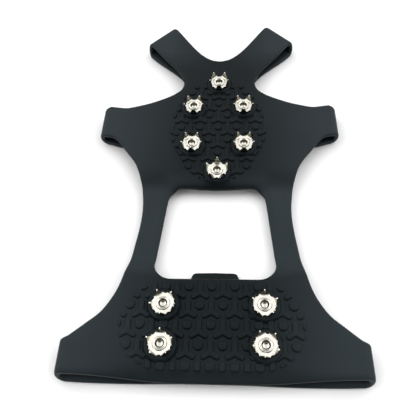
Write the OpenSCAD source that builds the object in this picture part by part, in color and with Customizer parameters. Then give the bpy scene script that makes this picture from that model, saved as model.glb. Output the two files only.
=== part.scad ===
// Slip-on ice cleat for a shoe: a stretch rubber harness with clinched steel studs.
// It lies with its studs up. Its toe and heel straps are folded flat under the sole.
// X runs across the foot, +Y points to the toe and +Z up. Z = 0 is the surface it lies on.

/* [Overall size] */
// Length from the heel edge to the toe folds
harness_length = 191; // [184:1:200]
// Width across the folds of the side arms
harness_width = 116; // [112:1:122]
// Thickness of the rubber sheet
sheet_t = 2.2; // [2:0.1:2.4]
// Clear height between the sole and the straps folded under it
pocket_gap = 2.6; // [2.4:0.1:3.4]

/* [Arch window] */
// Toe side edge of the window, from the middle of the length
window_front = -16.6; // [-20:0.2:-15]
// Heel side edge of the window, from the middle of the length
window_rear = -57.4; // [-59:0.1:-55]
// Where the side webs bend, from the middle of the length
flex_y = -38; // [-40:1:-34]

/* [Studs] */
// Radius of the raised rubber seat at its base
seat_r = 7; // [6.4:0.1:7.2]
// Height of the raised rubber seat
seat_h = 1.3; // [0.8:0.1:1.6]
// Radius of the claw plate to the roots of its teeth
plate_r = 4.4; // [4:0.1:4.8]
// Thickness of the claw plate
plate_t = 0.8; // [0.6:0.1:1]
// Height of the claws above their plate
claw_h = 2.9; // [2.4:0.1:4]
// Number of claws on each plate
claws = 5; // [4:1:6]
// Radius of the tubular rivet
rivet_r = 2.3; // [2:0.1:2.4]
// Radius of the backing washer on the shoe side
washer_r = 4.8; // [4.4:0.1:5.2]

/* [Tread] */
// Distance between neighbouring lugs
lug_pitch = 9; // [8.5:0.1:10]
// Height of the lugs above the sheet
lug_h = 0.7; // [0.4:0.1:1]

/* [Hidden] */
// Clearance between pieces that move apart
joint_gap = 0.3;
// Half of that, left on each side of the mid height of a fold
half_gap = joint_gap / 2;
// Overlap of a fold with the flat sheet it grows from
lead_in = 0.3;
// Radial clearance of a rivet in its holes
rivet_fit = 0.05;

// Outer radius of a fold, and the heights of the sheet's two faces
fold_r = sheet_t + pocket_gap / 2;
top_z = 2 * fold_r;
inner_z = top_z - sheet_t;
flex_z = top_z - sheet_t / 2;

// Outermost lines, and the lines where the flat sheet starts to curl
side_x = harness_width / 2;
curl_x = side_x - fold_r;
end_y = harness_length / 2;
// Stretch of the plan from the standard size to this size
kx = harness_width / 116;
ky = harness_length / 191;

// Side arm and heel wing folds run along Y between these places
arm_rear = 15.8 * ky;
arm_front = 34.2 * ky;
wing_front = -81.5 * ky;
// Toe arm folds: the two ends of the outermost line
toe_in = [27 * kx, end_y];
toe_out = [40 * kx, 82 * ky];
toe_line = toe_out - toe_in;
toe_fold_w = norm(toe_line);
toe_angle = atan2(toe_line[0], -toe_line[1]);
toe_dir = [cos(toe_angle), sin(toe_angle)];
curl_in = toe_in - fold_r * toe_dir;
curl_out = toe_out - fold_r * toe_dir;
// The flat sheet of a toe arm stops inside the lead-in, a little wider than the fold
fold_inset = 0.1;
flat_in = curl_in - lead_in / 2 * toe_dir;
flat_out = curl_out - lead_in / 2 * toe_dir;
// Side webs at the place where they bend
web_out = 33 * kx;
web_in = 23.2 * kx;

// Studs by their plan centres and the turn of their claws
fore_studs = [[0, 49.6, 54], [-12.3, 33.3, 54], [12.3, 33.3, 54],
              [-12.3, 9.7, 54], [12.3, 9.7, 54], [0, -5.8, 18]];
heel_studs = [[-19.4, -68.5, 46], [19.4, -68.5, 18], [-19.4, -83.7, 18], [19.4, -83.7, 46]];

// Stack of a stud: seat, plate, rolled rivet collar above, washer and rivet head below
seat_z = top_z + seat_h;
plate_z = seat_z + plate_t;
collar_h = 0.8;
collar_r = rivet_r + 0.6;
washer_t = 0.6;
washer_z = inner_z - washer_t;
head_t = 0.5;
head_r = rivet_r + 1.3;
rivet_bore = rivet_r - 0.4;
bore_depth = 2.6;
seat_slope = 0.8;

// Teeth of a plate: two small ones between neighbouring claws
teeth = 3 * claws;
tooth_h = 0.35;
claw_w = 3.2;
claw_tip_w = 0.5;
claw_lean = 9;

// Tread rows, their pads and the shape of a three-armed lug
row_pitch = lug_pitch * sqrt(3) / 2;
// Each pad: half width, half length, middle along Y, squareness of its oval and first column
heel_pad = [34.5, 17, -76, 4, 3.6];
fore_pad = [23, 34, 22, 2, 0];
heel_rows_y = -72.4;
fore_rows_y = 24.6;
lug_w = 1.9;
lug_leg = [3.3, 0.5, 1.6];
lug_stem = 4.6;
button_r = 1.6;
button_y = -4.6;
// How far the middle of a lug stays inside its pad, and how far it may run under a seat
lug_margin = 1.5;
seat_overlap = 1;

RUBBER = [0.17, 0.18, 0.2];
STRAP = [0.2, 0.21, 0.23];
NICKEL = [0.78, 0.76, 0.72];
STEEL = [0.6, 0.6, 0.6];

// A plan point of the standard size, moved to this size
function at(x, y) = [x * kx, y * ky];
// Points of a Bezier curve from a to d, with d left to whatever comes next
function curve(a, b, c, d, n = 8) =
    [for (i = [0:n - 1]) let (t = i / n, s = 1 - t)
        s * s * s * a + 3 * s * s * t * b + 3 * s * t * t * c + t * t * t * d];
// The same points mirrored to the other side, in reverse order
function mirrored(half) = [for (i = [len(half) - 1:-1:0]) [-half[i][0], half[i][1]]];
function whole(half) = concat(half, mirrored(half));

// Right half of the forefoot, from the outside of the web round to the middle of the window
forefoot_half = concat(
    curve([web_out, flex_y], at(31.8, -29), at(32.4, -18), at(34.4, -10)),
    curve(at(34.4, -10), at(38, 3), at(47, 15.8), [curl_x, arm_rear]),
    [[curl_x, arm_rear]],
    curve([curl_x, arm_front], at(30, 33.5), at(18.5, 46), at(18.5, 51.5)),
    curve(at(18.5, 51.5), at(18.5, 60), flat_out - 10 * toe_dir, flat_out),
    [flat_out],
    curve(flat_in, flat_in - 8 * toe_dir, at(11, 67.2), at(0, 67.2)));
forefoot_window = concat(
    curve([0, window_front], [8 * kx, window_front], [15 * kx, window_front],
          [16.5 * kx, window_front], 3),
    curve([16.5 * kx, window_front], [19.5 * kx, window_front],
          [20.6 * kx, window_front - 1.4], [21.2 * kx, window_front - 6], 6),
    [[web_in, flex_y]]);

// Right half of the heel plate, from the web's inside round to the middle of the rear edge
heel_window = concat(
    [[web_in, flex_y]],
    curve([24.6 * kx, window_rear + 9], [24.8 * kx, window_rear + 3],
          [22 * kx, window_rear], [16.5 * kx, window_rear], 6),
    [[16.5 * kx, window_rear]]);
heel_half = concat(
    [[0, -end_y], [curl_x, -end_y], [curl_x, wing_front]],
    curve(at(50, -77.5), at(38.5, -67.5), at(34.2, -48), [web_out, flex_y]),
    [[web_out, flex_y]]);

// Right half of the cross strap, from the rear of its hub round to the front
strap_half = concat(
    curve(at(0, 29), at(9, 29), at(26, 12.5), [curl_x, arm_rear]),
    [[curl_x, arm_rear]],
    curve([curl_x, arm_front], at(40, 34.2), at(14, 37), at(14, 47), 8),
    curve(at(14, 47), at(14, 60), flat_out - 12 * toe_dir, flat_out),
    [flat_out],
    curve(flat_in, flat_in - 10 * toe_dir, at(12, 57), at(0, 57)));

// Right half of the heel band, from its rear edge round to its pull tab
band_half = concat(
    [[0, -end_y], [curl_x, -end_y], [curl_x, wing_front]],
    curve(at(50, -78), at(38, -72), at(26, -71.5), at(17, -70)),
    curve(at(17, -70), at(12, -69), at(10.1, -66), at(10.1, -60), 5),
    curve(at(10.1, -55.8), at(10.1, -54), at(9, -53), at(7.4, -53), 3));

// Quarter of a fold of width w, starting at the origin and running along +Y, curling towards +X.
// A short flat lead-in joins it to its sheet.
module fold_quarter(w, upper) {
    translate([-lead_in, 0, upper ? inner_z : 0])
        cube([lead_in, w, sheet_t]);
    translate([0, 0, fold_r])
        intersection() {
            rotate([-90, 0, 0])
                difference() {
                    cylinder(r = fold_r, h = w, $fn = 48);
                    translate([0, 0, -1])
                        cylinder(r = fold_r - sheet_t, h = w + 2, $fn = 48);
                }
            translate([0, -1, upper ? half_gap : -fold_r - 1])
                cube([fold_r + 1, w + 2, fold_r + 1 - half_gap]);
        }
}

// Fold quarters of both toe arms
module toe_folds(upper) {
    for (side = [0, 1])
        mirror([side, 0, 0])
            translate([curl_out[0], curl_out[1], 0])
                rotate([0, 0, toe_angle])
                    translate([0, fold_inset, 0])
                        fold_quarter(toe_fold_w - 2 * fold_inset, upper);
}

// Fold quarters on both sides, at x = curl_x, between two places along Y
module side_folds(rear, front, upper) {
    for (side = [0, 1])
        mirror([side, 0, 0])
            translate([curl_x, rear, 0])
                fold_quarter(front - rear, upper);
}

// Rounded end of a side web, which rolls about the flex axis
module web_ends() {
    for (side = [-1, 1])
        translate([side * (web_in + web_out) / 2, flex_y, flex_z])
            rotate([0, 90, 0])
                cylinder(r = sheet_t / 2, h = web_out - web_in, center = true, $fn = 32);
}

// Raised seats and rivet holes for a list of studs
module stud_seats(studs) {
    for (s = studs)
        translate([s[0] * kx, s[1] * ky, top_z - sheet_t / 2])
            cylinder(r1 = seat_r, r2 = seat_r - seat_slope, h = sheet_t / 2 + seat_h, $fn = 64);
}

module rivet_holes(studs) {
    for (s = studs)
        translate([s[0] * kx, s[1] * ky, inner_z - 1])
            cylinder(r = rivet_r + rivet_fit, h = sheet_t + seat_h + 2, $fn = 32);
}

// True where a spot of the tread lies inside its oval pad and not under a stud seat
function tread_free(p, pad, studs) =
    pow(abs(p[0]) / (pad[0] - lug_margin), pad[3])
        + pow(abs(p[1] - pad[2]) / (pad[1] - lug_margin), pad[3]) < 1
    && min([for (s = studs) norm([p[0] - s[0] * kx, p[1] - s[1] * ky])]) > seat_r - seat_overlap;

// Three-armed lug: a stem towards the toe and two legs that slope back towards the heel
module lug() {
    half = [[lug_w / 2, lug_stem], [lug_w / 2, lug_leg[1] + lug_w / 4],
            [lug_leg[0], -lug_leg[1]], [lug_leg[0] - 0.2, -lug_leg[2]],
            [lug_w * 0.6, -lug_leg[2] * 0.65], [0, -lug_leg[1] * 0.6]];
    linear_extrude(sheet_t / 2 + lug_h)
        polygon(concat(half, [for (i = [len(half) - 2:-1:0]) [-half[i][0], half[i][1]]]));
}

// Lugs on a triangular grid, each with a round button behind it
module tread(pad, rows_y, studs) {
    rows = ceil(pad[1] / row_pitch);
    cols = ceil(pad[0] / lug_pitch);
    for (row = [-rows:rows], col = [-cols:cols]) {
        p = [pad[4] + lug_pitch * (col + (row % 2 == 0 ? 0 : 0.5)), rows_y + row_pitch * row];
        if (tread_free(p, pad, studs))
            translate([p[0], p[1], top_z - sheet_t / 2]) lug();
        if (tread_free(p + [0, button_y], pad, studs))
            translate([p[0], p[1] + button_y, top_z - sheet_t / 2])
                cylinder(r = button_r, h = sheet_t / 2 + lug_h, $fn = 24);
    }
}

module forefoot_sole() {
    color(RUBBER)
        difference() {
            union() {
                translate([0, 0, inner_z])
                    linear_extrude(sheet_t)
                        polygon(concat(forefoot_half, mirrored(forefoot_half),
                                       mirrored(forefoot_window), forefoot_window));
                web_ends();
                toe_folds(true);
                side_folds(arm_rear, arm_front, true);
                stud_seats(fore_studs);
                tread(fore_pad, fore_rows_y, fore_studs);
            }
            rivet_holes(fore_studs);
        }
}

module heel_sole() {
    color(RUBBER)
        difference() {
            union() {
                translate([0, 0, inner_z])
                    linear_extrude(sheet_t)
                        polygon(concat(heel_half, heel_window, mirrored(heel_window),
                                       mirrored(heel_half)));
                side_folds(-end_y, wing_front, true);
                stud_seats(heel_studs);
                tread(heel_pad, heel_rows_y, heel_studs);
            }
            translate([0, flex_y, flex_z])
                cube([harness_width, sheet_t + 2 * joint_gap, 2 * sheet_t], center = true);
            rivet_holes(heel_studs);
        }
}

module toe_cross_strap() {
    color(STRAP) {
        linear_extrude(sheet_t)
            polygon(whole(strap_half));
        toe_folds(false);
        side_folds(arm_rear, arm_front, false);
    }
}

module heel_band() {
    color(STRAP) {
        linear_extrude(sheet_t)
            polygon(whole(band_half));
        side_folds(-end_y, wing_front, false);
    }
}

// Star plate with a toothed rim and upturned claws, clinched under the rivet's collar
module claw_plate(turn) {
    color(NICKEL)
        rotate([0, 0, turn])
            difference() {
                union() {
                    translate([0, 0, seat_z])
                        linear_extrude(plate_t)
                            polygon([for (i = [0:2 * teeth - 1])
                                let (r = plate_r + (i % 2 == 0 ? tooth_h : 0), a = 180 * i / teeth)
                                r * [cos(a), sin(a)]]);
                    for (i = [0:claws - 1])
                        rotate([0, 0, 360 * i / claws])
                            translate([plate_r, 0, seat_z])
                                rotate([0, claw_lean, 0])
                                    rotate([90, 0, 90])
                                        translate([0, 0, -plate_t])
                                            linear_extrude(plate_t)
                                                polygon([[-claw_w / 2, 0], [claw_w / 2, 0],
                                                         [claw_tip_w / 2, claw_h + plate_t],
                                                         [-claw_tip_w / 2, claw_h + plate_t]]);
                }
                translate([0, 0, seat_z - 1])
                    cylinder(r = rivet_r + rivet_fit, h = plate_t + 2, $fn = 32);
            }
}

// Semi-tubular rivet: flat head on the shoe side, hollow end, collar rolled over the plate
module rivet() {
    color(NICKEL)
        difference() {
            union() {
                translate([0, 0, washer_z - head_t])
                    cylinder(r = head_r, h = head_t, $fn = 40);
                translate([0, 0, washer_z - head_t])
                    cylinder(r = rivet_r, h = plate_z + collar_h - washer_z + head_t, $fn = 40);
                translate([0, 0, plate_z])
                    cylinder(r1 = collar_r, r2 = collar_r - 0.4, h = collar_h, $fn = 40);
            }
            translate([0, 0, plate_z + collar_h - bore_depth])
                cylinder(r = rivet_bore, h = bore_depth + 1, $fn = 40);
        }
}

module washer() {
    color(STEEL)
        translate([0, 0, washer_z])
            difference() {
                cylinder(r = washer_r, h = washer_t, $fn = 48);
                translate([0, 0, -1])
                    cylinder(r = rivet_r + rivet_fit, h = washer_t + 2, $fn = 32);
            }
}

// One node for each plate, rivet and washer of a named group of studs
module stud_nodes(group, studs) {
    for (i = [0:len(studs) - 1])
        translate([studs[i][0] * kx, studs[i][1] * ky, 0]) {
            claw_plate(studs[i][2]);
            rivet();
            washer();
        }
}

forefoot_sole();
heel_sole();
toe_cross_strap();
heel_band();
stud_nodes("fore", fore_studs);
stud_nodes("heel", heel_studs);
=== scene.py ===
"""Looks of a slip-on ice cleat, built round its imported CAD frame."""

import math

import bmesh
import bpy
import numpy as np
from mathutils import Matrix, Vector
from mathutils.geometry import delaunay_2d_cdt


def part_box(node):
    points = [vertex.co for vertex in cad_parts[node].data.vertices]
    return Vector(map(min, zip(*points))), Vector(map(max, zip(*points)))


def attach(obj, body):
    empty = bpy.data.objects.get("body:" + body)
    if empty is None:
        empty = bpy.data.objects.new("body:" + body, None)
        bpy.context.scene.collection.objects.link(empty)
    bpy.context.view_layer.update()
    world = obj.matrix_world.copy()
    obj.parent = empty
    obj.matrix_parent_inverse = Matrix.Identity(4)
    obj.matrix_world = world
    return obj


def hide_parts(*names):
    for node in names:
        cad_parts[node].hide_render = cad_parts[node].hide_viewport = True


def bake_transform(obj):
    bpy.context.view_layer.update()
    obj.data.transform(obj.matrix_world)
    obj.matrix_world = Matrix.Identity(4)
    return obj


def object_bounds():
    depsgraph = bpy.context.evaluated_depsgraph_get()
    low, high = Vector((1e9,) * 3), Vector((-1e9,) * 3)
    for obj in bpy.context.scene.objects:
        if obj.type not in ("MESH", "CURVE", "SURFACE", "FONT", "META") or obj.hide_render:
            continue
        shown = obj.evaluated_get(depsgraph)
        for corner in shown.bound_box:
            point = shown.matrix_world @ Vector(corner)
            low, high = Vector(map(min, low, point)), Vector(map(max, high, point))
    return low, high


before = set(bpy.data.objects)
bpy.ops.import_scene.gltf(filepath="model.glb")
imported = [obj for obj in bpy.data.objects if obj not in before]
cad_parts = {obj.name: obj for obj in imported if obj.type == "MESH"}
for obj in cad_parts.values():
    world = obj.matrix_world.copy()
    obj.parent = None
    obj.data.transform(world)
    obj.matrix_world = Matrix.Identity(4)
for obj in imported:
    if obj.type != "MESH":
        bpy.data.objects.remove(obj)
cad_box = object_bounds()

MM = 0.001
# The cleat's shapes are in mm until finish_rubber and copy_at turn them into metres
HALF_W = cad_box[1][0] / MM
HALF_L = cad_box[1][1] / MM
# Thickness of the rubber sheet, height of the sole's top, and mid heights of the sole and the straps
SHEET = 2.2
TOP = 7.0
TOP_MID = TOP - SHEET / 2
LOW_MID = SHEET / 2
# Outer radius of a fold and where the side folds begin
FOLD = TOP / 2
CURL_X = HALF_W - FOLD
# A radius under this is the axis of a lathed piece
AXIS_R = 1e-6


# ---------------------------------------------------------------- plan curves

# Straight steps in a span of a spline and in the arc of a rounded corner, and the wider step at
# the edges of a strap
SPAN_STEPS = 16
ARC_STEPS = 10
EDGE_STEP = 2.0


def vec(*values):
    return np.array(values, dtype=float)


def resample(points, step):
    """Even steps of about this length along a polyline, both ends kept."""
    points = np.array(points, dtype=float)
    gaps = np.linalg.norm(np.diff(points, axis=0), axis=1)
    at = np.concatenate([[0], np.cumsum(gaps)])
    count = max(1, int(round(at[-1] / step)))
    want = np.linspace(0, at[-1], count + 1)
    return np.stack([np.interp(want, at, points[:, k]) for k in range(2)], axis=1)


def spline(knots, step, lead=None, tail=None):
    """Smooth curve through knots. lead and tail are tangents at the two ends."""
    knots = [np.array(k, dtype=float) for k in knots]
    first = knots[0] - (np.array(lead) if lead is not None else knots[1] - knots[0])
    last = knots[-1] + (np.array(tail) if tail is not None else knots[-1] - knots[-2])
    chain = [first] + knots + [last]
    dense = []
    for a, b, c, d in zip(chain, chain[1:], chain[2:], chain[3:]):
        t0, t1 = 0.0, np.linalg.norm(b - a) ** 0.5
        t2 = t1 + np.linalg.norm(c - b) ** 0.5
        t3 = t2 + np.linalg.norm(d - c) ** 0.5
        for t in np.linspace(t1, t2, SPAN_STEPS, endpoint=False):
            a1 = (t1 - t) / (t1 - t0) * a + (t - t0) / (t1 - t0) * b
            a2 = (t2 - t) / (t2 - t1) * b + (t - t1) / (t2 - t1) * c
            a3 = (t3 - t) / (t3 - t2) * c + (t - t2) / (t3 - t2) * d
            b1 = (t2 - t) / (t2 - t0) * a1 + (t - t0) / (t2 - t0) * a2
            b2 = (t3 - t) / (t3 - t1) * a2 + (t - t1) / (t3 - t1) * a3
            dense.append((t2 - t) / (t2 - t1) * b1 + (t - t1) / (t2 - t1) * b2)
    dense.append(knots[-1])
    return resample(dense, step)


def fillet(before, corner, after, radius):
    """Points of an arc of this radius that rounds a corner."""
    before, corner, after = (np.array(p, dtype=float) for p in (before, corner, after))
    u = (before - corner) / np.linalg.norm(before - corner)
    v = (after - corner) / np.linalg.norm(after - corner)
    half = math.acos(np.clip(u @ v, -1, 1)) / 2
    bisector = (u + v) / np.linalg.norm(u + v)
    centre = corner + bisector * radius / math.sin(half)
    a, b = corner + u * radius / math.tan(half), corner + v * radius / math.tan(half)
    start = math.atan2(*(a - centre)[::-1])
    turn = (math.atan2(*(b - centre)[::-1]) - start + math.pi) % (2 * math.pi) - math.pi
    angles = [start + turn * k / ARC_STEPS for k in range(ARC_STEPS + 1)]
    return [centre + radius * vec(math.cos(angle), math.sin(angle)) for angle in angles]


def curl_line(a, b, steps=10):
    """Points across a strap where it starts to fold: a wider step at both edges."""
    width = np.linalg.norm(b - a)
    inner = np.linspace(EDGE_STEP, width - EDGE_STEP, steps)
    along = np.concatenate([[0], inner, [width]]) / width
    return a + along[:, None] * (b - a)


def join(*runs):
    """One closed outline from runs of points, without doubled points."""
    out = []
    for run in runs:
        for p in run:
            if not out or np.linalg.norm(np.array(p) - out[-1]) > 1e-4:
                out.append(np.array(p, dtype=float))
    if np.linalg.norm(out[0] - out[-1]) < 1e-4:
        out.pop()
    return np.array(out)


# Curl lines of the right half: side arm, heel wing and toe arm
ARM_A, ARM_B = vec(CURL_X, 15.8), vec(CURL_X, 34.9)
WING_A, WING_B = vec(CURL_X, -94.7), vec(CURL_X, -80.9)
BAND_A = vec(CURL_X, -96.4)
TOE_IN, TOE_OUT = vec(27, HALF_L), vec(40, 82)
TOE_DIR = vec(TOE_IN[1] - TOE_OUT[1], TOE_OUT[0] - TOE_IN[0])
TOE_DIR /= np.linalg.norm(TOE_DIR)
CURL_OUT, CURL_IN = TOE_OUT - FOLD * TOE_DIR, TOE_IN - FOLD * TOE_DIR
SIDE_DIR = vec(1, 0)
# The folded toe strap is wider than the toe arm above it
TOE_WIDER = 1.9
TOE_LOW = CURL_OUT + TOE_WIDER * (CURL_OUT - CURL_IN) / np.linalg.norm(CURL_OUT - CURL_IN)

arm_curl = curl_line(ARM_A, ARM_B, 12)
wing_curl = curl_line(WING_A, WING_B)
band_curl = curl_line(BAND_A, WING_B)
toe_curl = curl_line(CURL_OUT, CURL_IN, 12)
toe_low_curl = curl_line(TOE_LOW, CURL_IN, 12)

# Distances between points: fine edges, slow edges, the tab and the middle line
STEP, SLOW_STEP, TAB_STEP, MIDDLE_STEP = 1.1, 1.4, 1.0, 2.6

# Edges of the sole
rear_edge = spline([(0, -96.9), (14, -96.8), (24, -96.4), (33, -95.7), (43, -95), (50, -94.75), WING_A],
                   SLOW_STEP, lead=(4, 0), tail=(4, 0))
waist_edge = spline([WING_B, (48.6, -75.7), (44.3, -71.7), (41.0, -66.8), (38.4, -61.1), (36.0, -51.4),
                     (34.4, -41), (33.3, -32), (33.0, -24), (33.7, -16.5), (35.1, -9), (38.4, -.2),
                     (43.9, 7.4), (47.5, 12.1), (50.6, 15.0), ARM_A], STEP, lead=(-3, 2.4), tail=(4, 0))
notch_edge = spline([ARM_B, (50.6, 34.5), (46.6, 34.3), (41.3, 35.8), (35.2, 37.8), (28.8, 40.6),
                     (23.3, 43.7), (19.7, 47.2), (18.5, 51.4), (19.4, 55.6), (22.2, 60.8), (27.6, 67.6),
                     (33, 73.9), CURL_OUT], STEP, lead=(-4, 0), tail=4 * TOE_DIR)
toe_edge = spline([CURL_IN, (18.6, 84.9), (13.4, 77.9), (8.8, 72.5), (4.5, 69.3), (0, 68.15)],
                  STEP, lead=-4 * TOE_DIR, tail=(-4, 0))
# Arch window: its two ends, its corners, and its front edge where that bows back
W_FRONT, W_REAR = -13.3, -57.35
W_FC, W_RC = vec(21.3, W_FRONT), vec(25.7, W_REAR)
W_SAG = W_FRONT - .6
centre_front = resample([(0, 68.15), (0, W_SAG)], MIDDLE_STEP)
window_edge = resample([(0, W_SAG), (4, W_SAG + .05), (8, W_SAG + .22), (12, W_SAG + .5)]
                       + fillet((0, W_FRONT), W_FC, W_RC, 6.4)
                       + fillet(W_FC, W_RC, (0, W_REAR), 7.2) + [(0, W_REAR)], STEP)
centre_rear = resample([(0, W_REAR), (0, -96.9)], MIDDLE_STEP)
sole_outline = join(rear_edge, wing_curl, waist_edge, arm_curl, notch_edge, toe_curl,
                    toe_edge, centre_front, window_edge, centre_rear)

# Edges of the cross strap under the forefoot
strap_rear = spline([(0, 29), (9, 27), (20, 20.5), (31, 15), (40, 13.2), (47, 13.6), (51, 14.7), ARM_A],
                    SLOW_STEP, lead=(4, 0), tail=(4, 0))
strap_side = spline([ARM_B, (46, 33.8), (34, 34.2), (22, 37), (16, 43), (15.4, 50), (18.8, 57.6),
                     (23.3, 63.4), (28.6, 68.4), (34.2, 73.4), TOE_LOW],
                    SLOW_STEP, lead=(-4, 0), tail=4 * TOE_DIR)
strap_front = spline([CURL_IN, (18.5, 86), (12, 76), (7, 66), (0, 61.5)], SLOW_STEP,
                     lead=-4 * TOE_DIR, tail=(-4, 0))
strap_outline = join(strap_rear, arm_curl, strap_side, toe_low_curl, strap_front,
                     resample([(0, 61.5), (0, 29)], MIDDLE_STEP))

# Edges of the heel band, with its pull tab
TAB_Y = -52.9
band_front = spline([WING_B, (51, -79.8), (43, -76), (33, -73), (24, -71), (16, -68.6), (12, -65),
                     (10.3, -60.5)], SLOW_STEP, lead=(-3, 1.5), tail=(-.3, 3))
tab_edge = resample([(10.3, -60.5), (10.1, -56.3)] + fillet((10.1, -56.3), (9.2, TAB_Y), (0, TAB_Y), 2.1)
                    + [(0, TAB_Y + .15)], TAB_STEP)
band_rear = spline([(0, -96.5), (12, -96.55), (26, -96.75), (40, -96.75), (49, -96.6), BAND_A], SLOW_STEP,
                   lead=(4, 0), tail=(4, 0))
band_outline = join(band_rear, band_curl, band_front, tab_edge,
                    resample([(0, TAB_Y + .15), (0, -96.5)], MIDDLE_STEP))


# ---------------------------------------------------------------- skins

# Mirrored points that share a cell of this grid, or touch one, are welded
CELLS_PER_MM = 2000


class Skin:
    """Mid surface of the rubber sheet: points, faces and the piece of each face."""

    def __init__(self):
        self.points, self.faces, self.tags = [], [], []

    def add(self, points, faces, tags):
        base = len(self.points)
        self.points += [np.array(p, dtype=float) for p in points]
        self.faces += [[base + i for i in f] for f in faces]
        self.tags += tags

    def mirrored(self):
        """The same skin with its mirror image across x = 0, welded."""
        count = len(self.points)
        points = np.array(self.points)
        both = np.concatenate([points, points * vec(-1, 1, 1)])
        faces = self.faces + [[count + i for i in reversed(f)] for f in self.faces]
        tags = [t + ("_right" if t[-1] == "*" else "") for t in self.tags]
        tags += [t + ("_left" if t[-1] == "*" else "") for t in self.tags]
        tags = [t.replace("*", "") for t in tags]
        keys, inverse = {}, []
        steps = [(dx, dy, dz) for dx in (0, -1, 1) for dy in (0, -1, 1) for dz in (0, -1, 1)]
        for p in both:
            key = tuple(int(round(c * CELLS_PER_MM)) for c in p)
            beside = [tuple(k + d for k, d in zip(key, step)) for step in steps]
            near = next((keys[b] for b in beside if b in keys), None)
            if near is None:
                near = keys[key] = len(keys)
            inverse.append(near)
        merged = np.zeros((len(keys), 3))
        merged[inverse] = both
        faces = [[inverse[i] for i in f] for f in faces]
        return merged, faces, tags


def inside(points, outline):
    """True for each point inside a closed outline."""
    x, y = points[:, 0][:, None], points[:, 1][:, None]
    ax, ay = outline[:, 0], outline[:, 1]
    bx, by = np.roll(ax, -1), np.roll(ay, -1)
    crosses = ((ay > y) != (by > y)) & (x < (bx - ax) * (y - ay) / (by - ay + 1e-12) + ax)
    return crosses.sum(axis=1) % 2 == 1


def clearance(points, lines):
    """Distance from each point to the nearest of some segments."""
    best = np.full(len(points), 1e9)
    for a, b in lines:
        d = b - a
        t = np.clip((points - a) @ d / max(d @ d, 1e-12), 0, 1)
        best = np.minimum(best, np.linalg.norm(points - a - t[:, None] * d, axis=1))
    return best


# Smallest area of a triangle, least distance from inner points to an edge, and steps along cuts
SLIVER = .01
SEED_GAP = 1.75
CUT_STEP = 2.2


def plan_cross(a, b, c):
    """Twice the area of a plan triangle, negative where it runs clockwise."""
    return (b[0] - a[0]) * (c[1] - a[1]) - (b[1] - a[1]) * (c[0] - a[0])


def flat_skin(skin, outline, z, tag, grid, cuts=(), up=True):
    """Triangulates a plan outline at height z. cuts are extra lines that faces must follow."""
    points = list(outline)
    edges = [(i, (i + 1) % len(outline)) for i in range(len(outline))]
    for a, b in cuts:
        run = resample([outline[a], outline[b]], CUT_STEP)[1:-1]
        chain = [a] + list(range(len(points), len(points) + len(run))) + [b]
        points += list(run)
        edges += list(zip(chain, chain[1:]))
    low, high = outline.min(axis=0), outline.max(axis=0)
    rows = np.arange(low[1], high[1], grid * math.sqrt(3) / 2)
    seeds = np.array([(x + (grid / 2 if k % 2 else 0), y)
                      for k, y in enumerate(rows) for x in np.arange(0, high[0], grid)])
    seeds = seeds[inside(seeds, outline)]
    lines = [(np.array(points[a]), np.array(points[b])) for a, b in edges]
    seeds = seeds[clearance(seeds, lines) > SEED_GAP]
    points += list(seeds)
    made, _, faces, source, _, _ = delaunay_2d_cdt(
        [Vector(p) for p in points], edges, [], 0, 1e-5, True)
    out = []
    for k, p in enumerate(made):
        out.append(points[source[k][0]] if source[k] else (p.x, p.y))
    out = np.array(out)
    tris = [list(f) for f in faces]
    middle = np.array([out[f].mean(axis=0) for f in tris])
    areas = np.array([abs(plan_cross(*out[f])) / 2 for f in tris])
    keep = inside(middle, outline) & (areas > SLIVER)
    tris = [f for f, k in zip(tris, keep) if k]
    for f in tris:
        if (plan_cross(*out[f]) > 0) != up:
            f.reverse()
    tags = [tag(out[f].mean(axis=0)) if callable(tag) else tag for f in tris]
    skin.add([(p[0], p[1], z) for p in out], tris, tags)


def fold_skin(skin, curl, low_curl, direction, tucks, upper, lower, rows=20):
    """Half round fold from the sole's curl line to the strap's.

    tucks are how far its two edges draw in halfway round. The first half of it belongs to the
    piece upper, and the second half to lower.
    """
    reach = FOLD - SHEET / 2
    grid = []
    line = (curl[-1] - curl[0]) / np.linalg.norm(curl[-1] - curl[0])
    share = np.linalg.norm(curl - curl[0], axis=1) / np.linalg.norm(curl[-1] - curl[0])
    for k in range(rows + 1):
        angle = math.pi * k / rows
        halfway = 4 * (k / rows) * (1 - k / rows)
        shift = halfway * (tucks[0] * (1 - share) - tucks[1] * share)
        turn = (1 - math.cos(angle)) / 2
        plan = curl * (1 - turn) + low_curl * turn + shift[:, None] * line
        if 0 < k < rows:
            plan = plan + reach * math.sin(angle) * direction
        elif k == rows:
            plan = low_curl
        z = FOLD + (TOP_MID - LOW_MID) / 2 * math.cos(angle)
        z = TOP_MID if k == 0 else LOW_MID if k == rows else z
        grid.append([(p[0], p[1], z) for p in plan])
    width = len(curl)
    points = [p for row in grid for p in row]
    faces, tags = [], []
    for k in range(rows):
        for j in range(width - 1):
            f = [k * width + j, (k + 1) * width + j, (k + 1) * width + j + 1, k * width + j + 1]
            a, b, c = (np.array(points[f[m]]) for m in (0, 1, 2))
            out = np.array([*direction, 0]) * math.sin(math.pi * (k + .5) / rows)
            out[2] = math.cos(math.pi * (k + .5) / rows)
            if np.cross(b - a, c - a) @ out < 0:
                f.reverse()
            faces.append(f)
            tags.append(upper if k < rows // 2 else lower)
    skin.add(points, faces, tags)


def nearest(outline, target):
    return int(np.argmin(np.linalg.norm(outline - np.array(target), axis=1)))


# Where the pieces of the straps meet: back from the toe curl, and from the middle line
TOE_CUT = 24.0
SIDE_CUT = 20.0
# Side arms lie behind this line, and toe arms before it
ARMS_Y = 45


def plane_cut(outline, run, along, value):
    """The outline point nearest a plane, among the points of one run."""
    run = np.array(run)
    return nearest(outline, run[np.argmin(abs(run @ along - value))])


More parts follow.
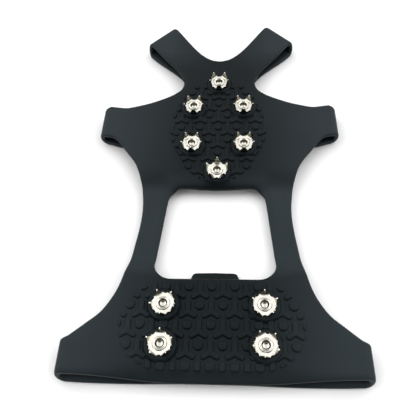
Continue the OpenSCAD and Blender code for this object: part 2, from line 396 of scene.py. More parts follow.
toe_value = CURL_OUT @ TOE_DIR - TOE_CUT
toe_cut = (plane_cut(strap_outline, strap_side[len(strap_side) // 2:], TOE_DIR, toe_value),
           plane_cut(strap_outline, strap_front, TOE_DIR, toe_value))
side_cut = (plane_cut(strap_outline, strap_rear, SIDE_DIR, SIDE_CUT),
            plane_cut(strap_outline, strap_side[:len(strap_side) // 2], SIDE_DIR, SIDE_CUT))
band_cut = (plane_cut(band_outline, band_rear, SIDE_DIR, SIDE_CUT),
            plane_cut(band_outline, band_front, SIDE_DIR, SIDE_CUT))


def beyond(outline, cut, p, away):
    """True where p lies on the far side of a cut line, towards away."""
    a, b = outline[cut[0]], outline[cut[1]]
    return plan_cross(a, b, p) * plan_cross(a, b, away) > 0


def strap_tag(p):
    if p[1] > ARMS_Y and beyond(strap_outline, toe_cut, p, CURL_OUT):
        return "toe_arm*"
    if p[1] < ARMS_Y and beyond(strap_outline, side_cut, p, ARM_A):
        return "side_arm*"
    return "toe_hub"


def band_tag(p):
    return "heel_strap*" if beyond(band_outline, band_cut, p, WING_A) else "heel_band_middle"


SOLE_GRID, STRAP_GRID = 2.7, 3.2
skin = Skin()
flat_skin(skin, sole_outline, TOP_MID, "sole", SOLE_GRID)
flat_skin(skin, strap_outline, LOW_MID, strap_tag, STRAP_GRID, cuts=(toe_cut, side_cut), up=False)
flat_skin(skin, band_outline, LOW_MID, band_tag, STRAP_GRID, cuts=(band_cut,), up=False)
fold_skin(skin, toe_curl, toe_low_curl, TOE_DIR, (.25, .35), "sole", "toe_arm*")
fold_skin(skin, arm_curl, arm_curl, SIDE_DIR, (.7, 1.0), "sole", "side_arm*")
fold_skin(skin, wing_curl, band_curl, SIDE_DIR, (.15, 1.1), "sole", "heel_strap*")
points, faces, tags = skin.mirrored()


# ---------------------------------------------------------------- thickness

def vertex_normals(points, faces):
    """Vertex normals weighted by the area of the faces round them."""
    normals = np.zeros_like(points)
    for f in faces:
        p = points[f]
        q = np.roll(p, -1, axis=0)
        n = np.cross(p, q).sum(axis=0)
        normals[f] += n
    return normals / np.maximum(np.linalg.norm(normals, axis=1), 1e-12)[:, None]


class Solid:
    """Closed sheet solid with rounded free edges, and the faces that cap each cut."""

    # Steps round a free edge, and the power of the superellipse that rounds it
    RINGS = 8
    POWER = 2.3

    def __init__(self, points, faces, tags, round_r=1.0):
        count = len(points)
        normals = vertex_normals(points, faces)
        owner = {(a, b): k for k, f in enumerate(faces) for a, b in zip(f, f[1:] + f[:1])}
        free = [(a, b) for (a, b) in owner if (b, a) not in owner]
        after = dict(free)
        before = {b: a for a, b in free}
        # Free edges draw in by round_r, so that their rounding ends where they were
        moved = points.copy()
        outward = {}
        for i in after:
            t1, t2 = points[after[i]] - points[i], points[i] - points[before[i]]
            t1, t2 = t1 / np.linalg.norm(t1), t2 / np.linalg.norm(t2)
            t = (t1 + t2) / np.linalg.norm(t1 + t2)
            out = np.cross(t, normals[i])
            out /= np.linalg.norm(out)
            outward[i] = out
            moved[i] = points[i] - out * round_r
        half = SHEET / 2
        self.points = list(moved + normals * half) + list(moved - normals * half)
        self.faces = [list(f) for f in faces] + [[count + i for i in reversed(f)] for f in faces]
        self.tags = list(tags) * 2
        # Rings of points from the top of each free edge to its bottom
        ring = {}
        for i in after:
            row = [i]
            for k in range(1, self.RINGS):
                a = math.pi / 2 - math.pi * k / self.RINGS
                c, s = abs(math.cos(a)) ** (2 / self.POWER), abs(math.sin(a)) ** (2 / self.POWER)
                row.append(len(self.points))
                self.points.append(moved[i] + outward[i] * round_r * c
                                   + normals[i] * half * math.copysign(s, a))
            row.append(count + i)
            ring[i] = row
        for a, b in free:
            for k in range(self.RINGS):
                self.faces.append([ring[b][k], ring[a][k], ring[a][k + 1], ring[b][k + 1]])
                self.tags.append(tags[owner[(a, b)]])
        self.points = np.array(self.points)
        # Caps: across every line where two pieces meet
        self.caps = []
        ends = {}
        for (a, b), k in owner.items():
            other = owner.get((b, a))
            if other is not None and tags[k] != tags[other]:
                self.caps.append((tags[k], [b, a, count + a, count + b]))
                ends.setdefault((tags[k], tags[other]), []).append((a, b))
        for (tag, _), line in ends.items():
            starts = {a for a, b in line}
            stops = {b for a, b in line}
            for i in (starts ^ stops) & set(after):
                row = ring[i]
                self.caps.append((tag, row[::-1] if i in stops else row))


solid = Solid(points, faces, tags)


def smooth_step(low, high, x):
    t = np.clip((x - low) / (high - low), 0, 1)
    return t * t * (3 - 2 * t)


# Heights by which the settled sheet rises or sinks
WING_LIFT, ARM_LIFT, TOE_LIFT = 1.2, .8, 1.5
REAR_DROOP, REAR_ROLL, WAIST_SAG, BAND_LIFT = .7, .8, 2.9, .9


def settle(co):
    """Small sags and swells of the soft sheet as it lies on the floor."""
    x, y, z = abs(co[:, 0]), co[:, 1], co[:, 2]
    top = np.clip((z - SHEET) / (TOP - 2 * SHEET), 0, 1)
    wing = smooth_step(34, 54, x) * smooth_step(-66, -84, y)
    arm = smooth_step(38, 56, x) * smooth_step(2, 16, y) * smooth_step(50, 36, y)
    along = x * TOE_DIR[0] + y * TOE_DIR[1]
    toe = smooth_step(60, 84, along) * smooth_step(60, 74, y)
    droop = smooth_step(-91, -96, y) * smooth_step(40, 12, x)
    roll = smooth_step(-92.6, -96, y)
    centre = smooth_step(25, 17, x)
    sag_start, sag_run = -3 - 8.2 * centre, 9 - 5 * centre
    sag = smooth_step(-56, -46, y) * np.clip((sag_start - y) / sag_run, 0, 1) ** 1.5
    lift = (WING_LIFT * wing + ARM_LIFT * arm + TOE_LIFT * toe
            - REAR_DROOP * droop - REAR_ROLL * roll - WAIST_SAG * sag)
    under = BAND_LIFT * smooth_step(-84, -95, y) * smooth_step(34, 12, x)
    out = co.copy()
    out[:, 2] += top * lift + (1 - top) * under
    return out


# ---------------------------------------------------------------- mesh objects

# Edges that turn by more than this stay sharp
RUBBER_SHARP, METAL_SHARP = math.radians(38), math.radians(30)


def new_object(name, points, faces):
    mesh = bpy.data.meshes.new(name)
    mesh.from_pydata([tuple(p) for p in points], [], [list(map(int, f)) for f in faces])
    mesh.update()
    obj = bpy.data.objects.new(name, mesh)
    bpy.context.scene.collection.objects.link(obj)
    return obj


def carve(name, solid, tag):
    """The part of a solid with this tag, closed with its caps."""
    chosen = [f for f, t in zip(solid.faces, solid.tags) if t == tag]
    chosen += [f for t, f in solid.caps if t == tag]
    used = sorted({i for f in chosen for i in f})
    index = {old: new for new, old in enumerate(used)}
    return new_object(name, solid.points[used], [[index[i] for i in f] for f in chosen])


def combine(target, tool, operation):
    """Joins, cuts or keeps the overlap of two closed meshes, and removes the second."""
    modifier = target.modifiers.new("combine", "BOOLEAN")
    modifier.operation = operation
    modifier.solver = "MANIFOLD"
    modifier.object = tool
    bpy.context.view_layer.update()
    made = target.evaluated_get(bpy.context.evaluated_depsgraph_get())
    mesh = bpy.data.meshes.new_from_object(made)
    target.modifiers.clear()
    old = target.data
    target.data = mesh
    mesh.name = target.name
    bpy.data.meshes.remove(old)
    data = tool.data
    bpy.data.objects.remove(tool)
    bpy.data.meshes.remove(data)


def lathe(name, profile, segments=48, centre=(0, 0)):
    """Closed solid of revolution from (radius, height) points; radius 0 closes an end."""
    points, faces, rows = [], [], []
    for r, z in profile:
        if r < AXIS_R:
            rows.append([len(points)])
            points.append((centre[0], centre[1], z))
            continue
        rows.append(list(range(len(points), len(points) + segments)))
        points += [(centre[0] + r * math.cos(2 * math.pi * k / segments),
                    centre[1] + r * math.sin(2 * math.pi * k / segments), z)
                   for k in range(segments)]
    for low, high in zip(rows, rows[1:]):
        for k in range(segments):
            m = (k + 1) % segments
            if len(low) == 1:
                faces.append([low[0], high[m], high[k]])
            elif len(high) == 1:
                faces.append([low[k], low[m], high[0]])
            else:
                faces.append([low[k], low[m], high[m], high[k]])
    return new_object(name, points, faces)


def stack_faces(rings, count):
    """Quads between rings of count corners each, and a face over either end."""
    faces = []
    for k in range(rings - 1):
        for j in range(count):
            m = (j + 1) % count
            faces.append([k * count + j, k * count + m, (k + 1) * count + m, (k + 1) * count + j])
    faces.append(list(range(count))[::-1])
    faces.append([(rings - 1) * count + j for j in range(count)])
    return faces


def grow(outline, amount):
    """Moves each corner of a small outline outwards along its bisector."""
    outline = np.array(outline, dtype=float)
    back, ahead = outline - np.roll(outline, 1, axis=0), np.roll(outline, -1, axis=0) - outline
    back /= np.linalg.norm(back, axis=1)[:, None]
    ahead /= np.linalg.norm(ahead, axis=1)[:, None]
    n1 = np.stack([back[:, 1], -back[:, 0]], axis=1)
    n2 = np.stack([ahead[:, 1], -ahead[:, 0]], axis=1)
    miter = n1 + n2
    miter /= np.maximum((miter * miter).sum(axis=1), .5)[:, None] / 2
    return outline + miter * amount


def raised(outline, layers):
    """Points and faces of a block whose outline changes at each (height, growth, shift along y)."""
    points = [(p[0], p[1] + shift, z) for z, amount, shift in layers for p in grow(outline, amount)]
    return points, stack_faces(len(layers), len(outline))


# ---------------------------------------------------------------- studs' places

def stud_place(name):
    low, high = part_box(name)
    return vec(low[0] + high[0], low[1] + high[1]) / 2 / MM


# Studs by group and number, where they stand and how far each is turned, in degrees
STUDS = [(group, k) for group, count in (("fore", 6), ("heel", 4)) for k in range(1, count + 1)]
places = {s: stud_place(f"rivet_{s[0]}_{s[1]}") for s in STUDS}
TURNS = {("fore", 6): 18, ("heel", 1): 47, ("heel", 2): 18, ("heel", 3): 18, ("heel", 4): 46}
USUAL_TURN = 54
# Heights of the studs' parts, from the CAD, and their radii
SEAT_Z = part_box("claw_plate_fore_1")[0][2] / MM
PLATE_T = .8
PLATE_Z = SEAT_Z + PLATE_T
WASHER_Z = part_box("washer_fore_1")[0][2] / MM
TIP_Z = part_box("claw_plate_fore_1")[1][2] / MM
SEAT_R = 6.8
BARREL_R = 2.3
HEAD_R, HEAD_T = 3.6, .5
BORE_R, BORE_WALL, BOWL_DEPTH = 1.64, .5, .9


# ---------------------------------------------------------------- tread

PITCH = 9.0
LUG_TOP = TOP + .7
# How far a button lies behind its star
TONGUE_DROP = 5.1


def star_outline():
    """Three-armed lug: one arm to the toe, two sloping back to the heel, with blunt round ends."""
    half, legs, stem = .95, 3.75, 4.7
    out = []
    for angle, reach in ((90, stem), (210, legs), (330, legs)):
        a = math.radians(angle)
        d, n = vec(math.cos(a), math.sin(a)), vec(math.sin(a), -math.cos(a))
        tip = [(reach - .6, half), (reach - .16, half - .22), (reach, half - .6)]
        out += [d * far + n * wide for far, wide in tip] + [d * far - n * wide for far, wide in tip[::-1]]
        out.append(vec(math.cos(a + math.pi / 3), math.sin(a + math.pi / 3)) * half / math.cos(math.pi / 6))
    return np.array(out)


def tongue_outline():
    """Button between two legs: nearly flat towards the toe and round towards the heel."""
    r, top = 1.62, 1.5
    arc = [vec(r * math.cos(a), r * math.sin(a)) for a in np.linspace(math.pi, 2 * math.pi, 13)]
    return np.array(arc + [vec(r, top - .6), vec(r - .18, top - .18), vec(r - .6, top),
                           vec(-r + .6, top), vec(-r + .18, top - .18), vec(-r, top - .6)])


# Height, growth and shift along y of a lug's outline, from its root to its top
LUG_LAYERS = [(TOP - .7, .1, -.2), (TOP, .1, -.2), (LUG_TOP - .18, .02, 0), (LUG_TOP - .06, -.08, 0),
              (LUG_TOP, -.24, 0)]


def lug_field(name, x0, row0, row_step, rows, columns, pad):
    """All lugs of one pad, trimmed to the pad's outline."""
    points, faces = [], []
    reach_x, reach_y = abs(pad[:, 0]).max() + 5, (pad[:, 1].min() - 6, pad[:, 1].max() + 6)
    for row in rows:
        for col in columns:
            x = x0 + PITCH * (col + (.5 if row % 2 else 0))
            y = row0 - row_step * row
            for outline, dy in ((star_outline(), 0), (tongue_outline(), -TONGUE_DROP)):
                if abs(x) < reach_x and reach_y[0] < y + dy < reach_y[1]:
                    p, f = raised(outline + vec(x, y + dy), LUG_LAYERS)
                    faces += [[len(points) + i for i in g] for g in f]
                    points += p
    field = new_object(name, points, faces)
    p, f = raised(pad, [(TOP - 2, 0, 0), (TOP + 2, 0, 0)])
    combine(field, new_object("pad", p, f), "INTERSECT")
    return field


def stadium(cx, cy, half_x, half_y, count=20):
    out = []
    for side, start in ((1, -90), (-1, 90)):
        out += [(cx + side * (half_x - half_y) + half_y * math.cos(math.radians(start + 180 * k / count)),
                 cy + half_y * math.sin(math.radians(start + 180 * k / count))) for k in range(count + 1)]
    return np.array(out)


heel_lugs = lug_field("heel_lugs", x0=3.6, row0=-63.45, row_step=7.62, rows=range(-1, 5),
                      columns=range(-5, 5), pad=stadium(-.7, -76, 35, 16.6))
egg = spline([(0, -12), (5, -10.6), (11, -6.5), (14.8, -2.6), (17, 2.6), (20, 8), (22.4, 14), (23, 19),
              (22.4, 26), (20.4, 34), (17.4, 41), (14.6, 45), (11.6, 49.3), (8, 52.8), (0, 55)], 1.5,
             lead=(3, 0), tail=(-3, 0))
fore_lugs = lug_field("fore_lugs", x0=0, row0=41.6, row_step=7.75, rows=range(-1, 8),
                      columns=range(-4, 5), pad=np.concatenate([egg, egg[-2:0:-1] * vec(-1, 1)]))


# ---------------------------------------------------------------- rubber pieces

# Each closed piece of the skin, and the sole with its lugs, its stud seats and its holes
RUBBER = {tag: carve("sole_rubber" if tag == "sole" else tag, solid, tag)
          for tag in sorted(set(solid.tags))}
sole = RUBBER["sole"]
combine(sole, heel_lugs, "UNION")
combine(sole, fore_lugs, "UNION")
SEAT_ROOT = TOP - SHEET / 2
seat = [(0, SEAT_ROOT), (SEAT_R - .2, SEAT_ROOT), (SEAT_R, TOP), (SEAT_R - .15, TOP + .25),
        (SEAT_R - .75, SEAT_Z - .3), (SEAT_R - .95, SEAT_Z - .08), (SEAT_R - 1.3, SEAT_Z), (0, SEAT_Z)]
for place in places.values():
    combine(sole, lathe("seat", seat, 64, place), "UNION")
HOLE_R = BARREL_R + .03
hole = [(0, TOP - 4), (HOLE_R, TOP - 4), (HOLE_R, TOP + 4), (0, TOP + 4)]
for place in places.values():
    combine(sole, lathe("hole", hole, 40, place), "DIFFERENCE")


def finish_rubber(obj):
    """Settles a rubber piece, smooths it, and moves it from mm to metres."""
    mesh = obj.data
    co = np.empty(len(mesh.vertices) * 3)
    mesh.vertices.foreach_get("co", co)
    co = settle(co.reshape(-1, 3)) * MM
    mesh.vertices.foreach_set("co", co.ravel())
    mesh.update()
    mesh.shade_smooth()
    mesh.set_sharp_from_angle(angle=RUBBER_SHARP)


for obj in RUBBER.values():
    finish_rubber(obj)


# ---------------------------------------------------------------- metal pieces

CLAWS = 5
# A claw's outward lean, the radius of its bend, and the radius of the plate at which it begins
CLAW_LEAN = math.radians(9)
CLAW_BEND_R, CLAW_START = .62, 3.7
BEND_STEPS, BLADE_STEPS = 10, 8
# Half widths of a claw: at its tip, how much it grows from there to the root, and the greatest
CLAW_TIP, CLAW_TAPER, CLAW_HALF_W = .2, 1.85, 1.6
# Share of its thickness that a claw loses towards its tip
CLAW_THINNING = .3
# Claw roots are thinner than the plate by this much on each face, so that they join it inside
SUNK = .03
RIM_R, PLATE_HOLE_R, COUNTERSINK_R = 4.1, BARREL_R + .04, 2.8


def claw_points():
    """One bent claw: rings of eight corners from inside the plate up to the tip."""
    mid = SEAT_Z + PLATE_T / 2
    path = [(CLAW_START - .7, mid, 0.0), (CLAW_START, mid, 0.0)]
    for k in range(1, BEND_STEPS + 1):
        a = (math.pi / 2 - CLAW_LEAN) * k / BEND_STEPS
        path.append((CLAW_START + CLAW_BEND_R * math.sin(a), mid + CLAW_BEND_R * (1 - math.cos(a)), a))
    r0, z0, a0 = path[-1]
    run = (TIP_Z - z0) / math.sin(a0)
    for k in range(1, BLADE_STEPS + 1):
        along = run * k / BLADE_STEPS
        path.append((r0 + along * math.cos(a0), z0 + along * math.sin(a0), a0))
    length = [0.0]
    for (r1, z1, _), (r2, z2, _) in zip(path, path[1:]):
        length.append(length[-1] + math.hypot(r2 - r1, z2 - z1))
    rings = []
    for (r, z, a), s in zip(path, length):
        t = max(0.0, (s - length[1]) / (length[-1] - length[1]))
        width = min(CLAW_HALF_W, CLAW_TAPER * (1 - t) + CLAW_TIP)
        thick = (PLATE_T / 2 - SUNK) * (1 - CLAW_THINNING * t)
        soft = min(.14, width * .3, thick * .4)
        nr, nz = -math.sin(a), math.cos(a)
        ring = []
        for w, h in ((-width + soft, -thick), (width - soft, -thick), (width, -thick + soft),
                     (width, thick - soft), (width - soft, thick), (-width + soft, thick),
                     (-width, thick - soft), (-width, -thick + soft)):
            ring.append((r + nr * h, w, z + nz * h))
        rings.append(ring)
    points = [p for ring in rings for p in ring]
    return np.array(points), stack_faces(len(rings), len(rings[0]))


def plate_outline():
    """Star plate: five claw roots, with two small teeth between neighbours."""
    out = []
    root = [(-20.5, RIM_R), (-17.5, 4.32), (17.5, 4.32), (20.5, RIM_R)]
    teeth = [(23.4, 4.62), (25.2, 4.64), (27.4, 4.4), (30.5, 4.2), (36, 4.18), (41.5, 4.2), (44.6, 4.4),
             (46.8, 4.64), (48.6, 4.62)]
    for claw in range(CLAWS):
        for angle, r in root + teeth:
            a = math.radians(360 / CLAWS * claw + angle)
            out.append((r * math.cos(a), r * math.sin(a)))
    return np.array(out)


def edit_faces(obj, operation, **settings):
    """Runs one bmesh operation on all faces of an object."""
    bm = bmesh.new()
    bm.from_mesh(obj.data)
    operation(bm, faces=bm.faces[:], **settings)
    bm.to_mesh(obj.data)
    bm.free()


def plate_ring():
    """The star plate as one closed ring of quads: toothed rim, flat top and countersunk hole."""
    rim = plate_outline()
    angles = np.arctan2(rim[:, 1], rim[:, 0])
    circle = np.stack([np.cos(angles), np.sin(angles)], axis=1)
    rings = [(grow(rim, amount), z) for z, amount in (
        (SEAT_Z, -.1), (SEAT_Z + .1, 0), (PLATE_Z - .14, 0), (PLATE_Z - .04, -.06), (PLATE_Z, -.16))]
    rings += [(circle * r, z) for r, z in (
        (COUNTERSINK_R, PLATE_Z), (COUNTERSINK_R - .14, PLATE_Z - .4),
        (PLATE_HOLE_R, PLATE_Z - .4), (PLATE_HOLE_R, SEAT_Z))]
    count = len(rim)
    points = [(p[0], p[1], z) for ring, z in rings for p in ring]
    faces = []
    for k in range(len(rings)):
        after = (k + 1) % len(rings)
        for j in range(count):
            m = (j + 1) % count
            faces.append([k * count + j, k * count + m, after * count + m, after * count + j])
    plate = new_object("star", points, faces)
    edit_faces(plate, bmesh.ops.recalc_face_normals)
    return plate


def make_star():
    star = plate_ring()
    points, faces = claw_points()
    for claw in range(CLAWS):
        a = math.radians(360 / CLAWS * claw)
        turned = points.copy()
        turned[:, 0] = points[:, 0] * math.cos(a) - points[:, 1] * math.sin(a)
        turned[:, 1] = points[:, 0] * math.sin(a) + points[:, 1] * math.cos(a)
        tool = new_object("claw", turned, faces)
        edit_faces(tool, bmesh.ops.recalc_face_normals)
        combine(star, tool, "UNION")
    edit_faces(star, bmesh.ops.triangulate, ngon_method="EAR_CLIP")
    return star


def make_rivet():
    """Semi-tubular rivet: flat head under the sole, barrel, rolled collar and a bowl-ended bore."""
    z, low = PLATE_Z, WASHER_Z - HEAD_T
    head = [(0, low), (HEAD_R - .3, low), (HEAD_R - .06, low + .08), (HEAD_R, low + .25),
            (HEAD_R - .06, low + .42), (HEAD_R - .3, low + HEAD_T), (BARREL_R, low + HEAD_T),
            (BARREL_R, z - .2), (2.5, z - .2)]
    roll = spline([(2.5, z - .2), (2.61, z), (2.62, z + .3), (2.54, z + .48), (2.42, z + .5),
                   (2.33, z + .42), (2.27, z + .36)], .06)
    lip = spline([(2.27, z + .36), (2.17, z + .52), (2.06, z + .68), (1.9, z + .74),
                  (1.72, z + .6), (BORE_R, z + .2)], .06)
    bowl = [(BORE_R * math.cos(a), z - BORE_WALL - BOWL_DEPTH * math.sin(a))
            for a in np.linspace(0, math.pi / 2, 12)]
    bowl[-1] = (0, z - BORE_WALL - BOWL_DEPTH)
    profile = head + [tuple(p) for p in roll[1:]] + [tuple(p) for p in lip[1:]] + bowl
    return lathe("rivet_shape", profile, 56)


# A face is level where the upright part of its normal is at least this
LEVEL = .999


def copy_at(source, name, place, turn):
    obj = bpy.data.objects.new(name, source.data.copy())
    bpy.context.scene.collection.objects.link(obj)
    obj.data.name = name
    obj.data.transform(Matrix.Scale(MM, 4) @ Matrix.Translation((place[0], place[1], 0))
                       @ Matrix.Rotation(math.radians(turn), 4, "Z"))
    obj.data.shade_smooth()
    obj.data.set_sharp_from_angle(angle=METAL_SHARP)
    # Level faces are shaded flat, so that the slopes beside them don't tint them
    for face in obj.data.polygons:
        face.use_smooth = abs(face.normal.z) < LEVEL
    return obj


star, rivet_shape = make_star(), make_rivet()
stars, rivets = {}, {}
for s in STUDS:
    turn = TURNS.get(s, USUAL_TURN)
    stars[s] = copy_at(star, f"star_{s[0]}_{s[1]}", places[s], turn)
    rivets[s] = copy_at(rivet_shape, f"stud_{s[0]}_{s[1]}", places[s], turn)
for extra in (star, rivet_shape):
    bpy.data.objects.remove(extra)


# ---------------------------------------------------------------- materials

class Tree:
    """Short way to wire a node tree."""

    def __init__(self, tree):
        self.tree = tree

    def add(self, kind, **settings):
        node = self.tree.nodes.new(kind)
        for key, value in settings.items():
            setattr(node, key, value)
        return node

    def link(self, source, target):
        self.tree.links.new(source, target)

    def split(self, vector):
        """The x, y and z of a vector."""
        node = self.add("ShaderNodeSeparateXYZ")
        self.link(vector, node.inputs["Vector"])
        return node.outputs

    def remap(self, value, low, high, to_low=0.0, to_high=1.0, shape="LINEAR"):
        node = self.add("ShaderNodeMapRange", interpolation_type=shape)
        for key, number in (("From Min", low), ("From Max", high), ("To Min", to_low), ("To Max", to_high)):
            node.inputs[key].default_value = number
        self.link(value, node.inputs["Value"])
        return node.outputs["Result"]

    def math(self, operation, a, b=0):
        node = self.add("ShaderNodeMath", operation=operation)
        for socket, value in zip(node.inputs, (a, b)):
            if isinstance(value, (int, float)):
                socket.default_value = value
            else:
                self.link(value, socket)
        return node.outputs[0]


class Nodes(Tree):
    """A node material with one principled shader."""

    def __init__(self, name):
        self.material = bpy.data.materials.new(name)
        self.material.use_nodes = True
        super().__init__(self.material.node_tree)
        self.tree.nodes.clear()
        self.shader = self.add("ShaderNodeBsdfPrincipled")
        out = self.add("ShaderNodeOutputMaterial")
        self.link(self.shader.outputs[0], out.inputs["Surface"])
        self.position = self.add("ShaderNodeTexCoord").outputs["Object"]

    def noise(self, scale, detail=3.0, roughness=.55, stretch=None):
        node = self.add("ShaderNodeTexNoise")
        node.inputs["Scale"].default_value = scale
        node.inputs["Detail"].default_value = detail
        node.inputs["Roughness"].default_value = roughness
        source = self.position
        if stretch:
            mapping = self.add("ShaderNodeMapping")
            mapping.inputs["Scale"].default_value = stretch
            self.link(source, mapping.inputs["Vector"])
            source = mapping.outputs["Vector"]
        self.link(source, node.inputs["Vector"])
        return node.outputs["Fac"]

    def side_light_and_bare(self):
        """0 on the tread pads, 1 on the webs and arms and towards both sides, and partly towards the heel's
        rear end. The rise towards both sides is painted light, as side boxes would light the rubber. In
        metres.
        """
        x, along, _ = self.split(self.position)
        across = self.math("ABSOLUTE", x)
        waist = self.math("MULTIPLY", self.remap(along, -.003, -.015), self.remap(along, -.060, -.052))
        ends = self.math("ADD", waist, self.remap(along, .060, .075))
        bare = self.math("MULTIPLY", ends, self.remap(across, .004, .026))
        rear = self.remap(along, -.084, -.094, 0, .42)
        # Painted light: the last term makes the rubber lighter towards both sides
        return self.math("MAXIMUM", self.math("MAXIMUM", bare, rear), self.remap(across, .014, .05))

    def layer(self, rise, fall):
        """1 between two heights in mm, each given as the two ends of a soft step."""
        z = self.split(self.position)["Z"]
        return self.math("MULTIPLY", self.remap(z, rise[0] * MM, rise[1] * MM),
                         self.remap(z, fall[0] * MM, fall[1] * MM, 1, 0))

    def mix(self, factor, a, b):
        node = self.add("ShaderNodeMix", data_type="RGBA")
        self.link(factor, node.inputs["Factor"])
        for socket, value in ((node.inputs["A"], a), (node.inputs["B"], b)):
            if isinstance(value, tuple):
                socket.default_value = (*value, 1)
            else:
                self.link(value, socket)
        return node.outputs["Result"]

    def bump(self, height, strength, distance, before=None):
        node = self.add("ShaderNodeBump")
        node.inputs["Strength"].default_value = strength
        node.inputs["Distance"].default_value = distance
        self.link(height, node.inputs["Height"])
        if before is not None:
            self.link(before, node.inputs["Normal"])
        return node.outputs["Normal"]

    def set(self, **values):
        for key, value in values.items():
            self.shader.inputs[key.replace("_", " ")].default_value = value


def rubber_material():
    m = Nodes("black_rubber")
    cloud = m.noise(26, 4, .6)
    fine = m.noise(420, 4, .65)
    speck = m.noise(2600, 2, .6)
    inner = m.mix(m.remap(cloud, .32, .7), (.0026, .0038, .0046), (.0044, .006, .007))
    outer = m.mix(m.remap(cloud, .32, .7), (.0165, .0216, .0245), (.02, .026, .0292))
    # Painted light: the much lighter outer tone takes over towards both sides, and also on the webs, the
    # arms and partly the heel's rear end
    tone = m.mix(m.side_light_and_bare(), inner, outer)
    dust = m.remap(m.math("MULTIPLY", fine, speck), .3, .5)
    colour = m.mix(m.math("MULTIPLY", dust, .22), tone, (.014, .017, .018))
    m.link(colour, m.shader.inputs["Base Color"])
    m.link(m.remap(m.math("ADD", cloud, fine), .7, 1.3, .42, .54), m.shader.inputs["Roughness"])
    grain = m.bump(speck, .25, .00006)
    m.link(m.bump(fine, .2, .00012, grain), m.shader.inputs["Normal"])
    m.set(Specular_IOR_Level=.13, IOR=1.5, Specular_Tint=(.8, .96, 1.0, 1))
    return m.material


# Colour of painted shade on the metal, dark and slightly olive
PAINTED_SHADE = (.13, .125, .085)


def nickel_material(name, base, bright, scratch=1.0, shade_bands=()):
    """Plated steel. Its last argument lists the heights in mm at which painted shade darkens it, and by how
    much.
    """
    m = Nodes(name)
    cloud = m.noise(160, 3, .6)
    brushed = m.noise(900, 3, .6, (1, 6, 1))
    pits = m.noise(3200, 2, .5)
    colour = m.mix(m.remap(cloud, .35, .68), base, bright)
    # Painted shade: each band of height darkens the colour towards the shade colour
    for rise, fall, amount in shade_bands:
        colour = m.mix(m.math("MULTIPLY", m.layer(rise, fall), amount), colour, PAINTED_SHADE)
    m.link(colour, m.shader.inputs["Base Color"])
    m.link(m.remap(m.math("ADD", brushed, cloud), .75, 1.25, .12, .2), m.shader.inputs["Roughness"])
    normal = m.bump(pits, .06 * scratch, .00002)
    m.link(m.bump(brushed, .06 * scratch, .00003, normal), m.shader.inputs["Normal"])
    m.set(Metallic=1.0)
    return m.material


rubber = rubber_material()
# Painted shade on the star plates: below the top face (rim walls, countersink and hole), and on the claw
# blades in place of their dark reflections
nickel = nickel_material("bright_nickel", (.7, .685, .62), (.8, .785, .72), shade_bands=[
    ((-2, -1), (PLATE_Z - .08, PLATE_Z - .03), .9),
    ((PLATE_Z + .35, PLATE_Z + .8), (TIP_Z - .5, TIP_Z - .2), .8)])
# Painted shade on the rivets: in the bore and the groove round the collar, and darker still at the bowl's
# bottom and on the head under the sole
rivet_nickel = nickel_material("rivet_nickel", (.72, .7, .64), (.82, .8, .75), .7, shade_bands=[
    ((PLATE_Z - 1.2, PLATE_Z - .95), (PLATE_Z + .12, PLATE_Z + .4), .85),
    ((-2, -1), (PLATE_Z - 1.2, PLATE_Z - .95), .35)])
zinc = nickel_material("zinc_steel", (.42, .43, .44), (.56, .57, .58), 1.6)


def dress(obj, material):
    obj.data.materials.clear()
    obj.data.materials.append(material)


for s in STUDS:
    dress(stars[s], nickel)
    dress(rivets[s], rivet_nickel)
    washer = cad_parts[f"washer_{s[0]}_{s[1]}"]
    for slot in washer.material_slots:
        slot.material = zinc
for obj in RUBBER.values():
    dress(obj, rubber)


# ---------------------------------------------------------------- what moves with what

for s in STUDS:
    body = "forefoot_sole" if s[0] == "fore" else "heel_sole"
    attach(stars[s], body)
    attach(rivets[s], body)
    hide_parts(f"claw_plate_{s[0]}_{s[1]}")
    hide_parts(f"rivet_{s[0]}_{s[1]}")

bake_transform(sole)
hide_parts("heel_sole", "forefoot_sole")
for side, sign in (("right", 1), ("left", -1)):
    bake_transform(RUBBER[f"toe_arm_{side}"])
    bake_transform(RUBBER[f"side_arm_{side}"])
    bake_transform(RUBBER[f"heel_strap_{side}"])
    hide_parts("toe_cross_strap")
    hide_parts("toe_cross_strap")
    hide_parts("heel_band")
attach(RUBBER["toe_hub"], "toe_cross_strap")
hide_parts("toe_cross_strap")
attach(RUBBER["heel_band_middle"], "heel_band")
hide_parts("heel_band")


# ---------------------------------------------------------------- floor, light and camera

# All in metres
FLOOR_HALF, FLOOR_Z = 3, -.00002


def make_floor():
    corners = [(-1, -1), (1, -1), (1, 1), (-1, 1)]
    floor = new_object("floor", [(x * FLOOR_HALF, y * FLOOR_HALF, FLOOR_Z) for x, y in corners],
                       [[0, 1, 2, 3]])
    m = Nodes("white_table")
    colour = m.mix(m.remap(m.noise(9, 3, .5), .3, .7), (.93, .93, .93), (.95, .95, .95))
    m.link(colour, m.shader.inputs["Base Color"])
    m.set(Roughness=.8, Specular_IOR_Level=.1)
    dress(floor, m.material)


def area_light(name, place, target, size, power):
    data = bpy.data.lights.new(name, "AREA")
    data.shape = "RECTANGLE"
    data.size, data.size_y = size
    data.energy = power
    light = bpy.data.objects.new(name, data)
    bpy.context.scene.collection.objects.link(light)
    light.location = place
    light.rotation_euler = (Vector(target) - Vector(place)).to_track_quat("-Z", "Y").to_euler()


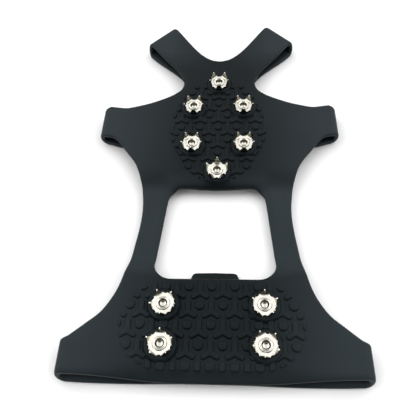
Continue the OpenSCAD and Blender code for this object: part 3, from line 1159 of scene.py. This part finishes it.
def studio_world():
    """Soft studio: a bright ceiling, brightest overhead and at both sides, above a dark horizon.

    It is dark at the heel end, where the photographer stands.
    """
    world = bpy.data.worlds.new("studio")
    world.use_nodes = True
    w = Tree(world.node_tree)

    def ramp(source, low, high, to_low, to_high):
        return w.remap(source, low, high, to_low, to_high, "SMOOTHSTEP")

    x, y, z = w.split(w.add("ShaderNodeTexCoord").outputs["Generated"])
    wide = w.math("ABSOLUTE", x)
    ceiling = w.math("ADD", ramp(z, .12, .5, .04, 1.12), ramp(z, .9, .98, 0, .25))
    boxes = w.math("MULTIPLY", ramp(wide, .1, .6, 0, 1.3), ramp(z, .15, .5, 0, 1))
    photographer = w.math("MAXIMUM", ramp(y, -.38, 0, .06, 1), ramp(wide, .42, .7, .06, 1))
    light = w.math("MULTIPLY", w.math("ADD", ceiling, boxes), photographer)
    background = w.tree.nodes["Background"]
    background.inputs["Color"].default_value = (1, 1, 1, 1)
    w.link(light, background.inputs["Strength"])
    bpy.context.scene.world = world


make_floor()
studio_world()
area_light("softbox", place=(0, .55, 1.0), target=(0, 0, 0), size=(1.2, .5), power=.35)
bpy.context.scene.view_settings.view_transform = "Standard"

# Angles in radians, distance from the target in metres
ELEVATION = 1.03398
YAW = .09657
ROLL = -.0789
DISTANCE = .19366
TARGET = Vector((-.00266, -.02574, TOP * MM))
back = Vector((math.sin(YAW) * math.cos(ELEVATION), -math.cos(YAW) * math.cos(ELEVATION),
               math.sin(ELEVATION)))
right = Vector((0, 0, 1)).cross(back).normalized()
up = back.cross(right)
right, up = (math.cos(ROLL) * right + math.sin(ROLL) * up, -math.sin(ROLL) * right + math.cos(ROLL) * up)
camera_data = bpy.data.cameras.new("camera")
camera_data.lens = 38.24
camera_data.sensor_width = 36
camera_data.clip_start = .01
camera = bpy.data.objects.new("camera", camera_data)
bpy.context.scene.collection.objects.link(camera)
turn = Matrix((right, up, back)).transposed().to_4x4()
camera.matrix_world = Matrix.Translation(TARGET + back * DISTANCE) @ turn
bpy.context.scene.camera = camera
